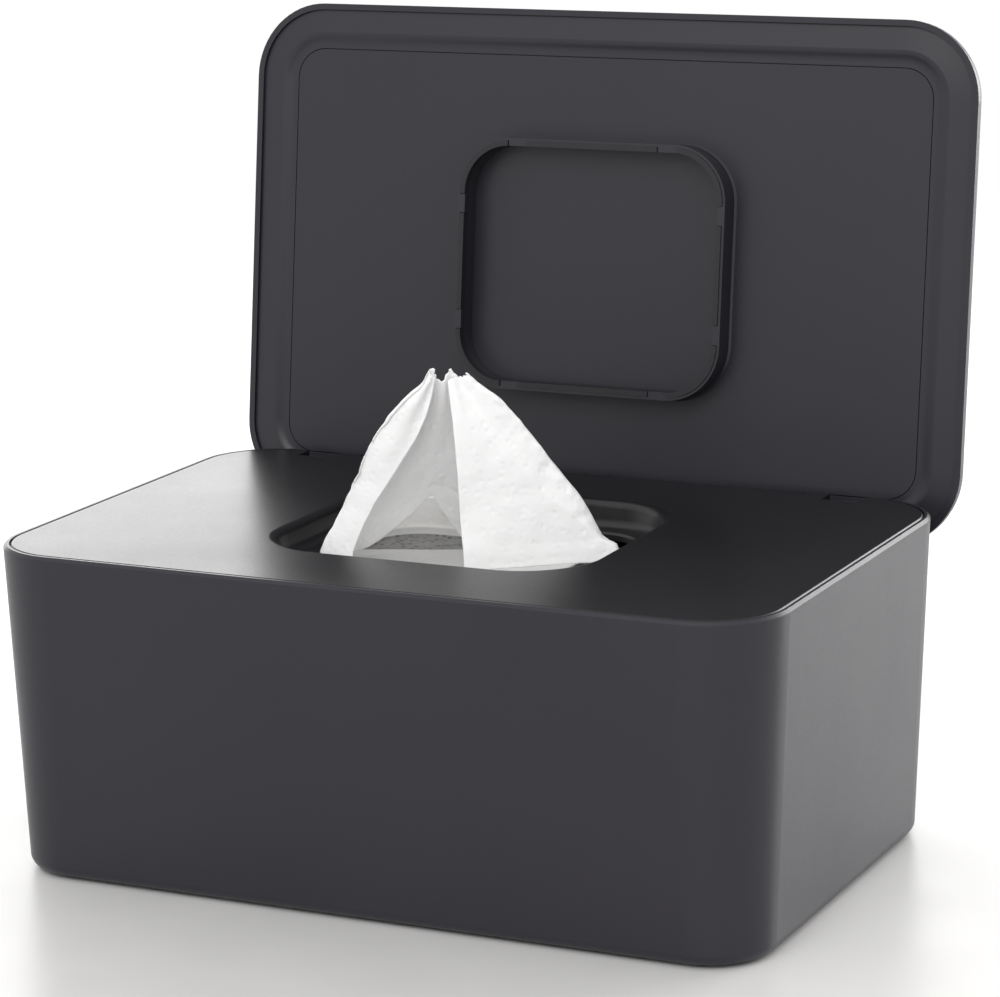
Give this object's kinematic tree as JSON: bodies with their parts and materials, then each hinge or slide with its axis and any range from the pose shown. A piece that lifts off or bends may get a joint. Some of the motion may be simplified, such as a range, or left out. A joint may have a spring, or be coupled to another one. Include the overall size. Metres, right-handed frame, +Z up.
{
  "type": "wipes dispenser",
  "caption": "Rounded tabletop box for wipes: drafted tub, inner cover with a recessed dispensing opening, and a hinged lid with a ring seal; a wipe stands up from the opening.",
  "frame": {"origin": "on the table, under the middle of the dispenser's box with the lid open", "axes": "+Z up, +X to the right along the long front, +Y from the front to the hinge"},
  "size_m": [0.195, 0.1532, 0.1922],
  "materials": {
    "housing": "fine satin charcoal plastic",
    "deck": "smooth semi-gloss charcoal plastic",
    "lid_inside": "satin charcoal plastic",
    "seal": "soft matte rubber",
    "pad": "matte rubber",
    "pin": "plain drawn steel",
    "wipe": "soft embossed nonwoven"
  },
  "bodies": {
    "tub": {"tub": "housing", "foot_front_left": "pad", "foot_front_right": "pad", "foot_rear_left": "pad", "foot_rear_right": "pad", "wipe_stack": "wipe", "next_wipe": "wipe", "pulled_wipe": "wipe"},
    "inner_cover": {"inner_cover": "deck", "hinge_pin_left": "pin", "hinge_pin_right": "pin"},
    "lid": {"lid_cover": "housing", "lid_frame": "lid_inside", "lid_panel": "lid_inside", "seal_ring": "seal"}
  },
  "joints": [
    {"name": "cover_lift", "type": "slide", "parent": "tub", "child": "inner_cover", "axis": [0, 0, 1], "range_m": [0, 0.06]},
    {"name": "lid_hinge", "type": "hinge", "parent": "inner_cover", "child": "lid", "pos_m": [0, 0.04633, 0.0711], "axis": [1, 0, 0], "range_deg": [0, 97], "deforming": ["pulled_wipe"]}
  ]
}
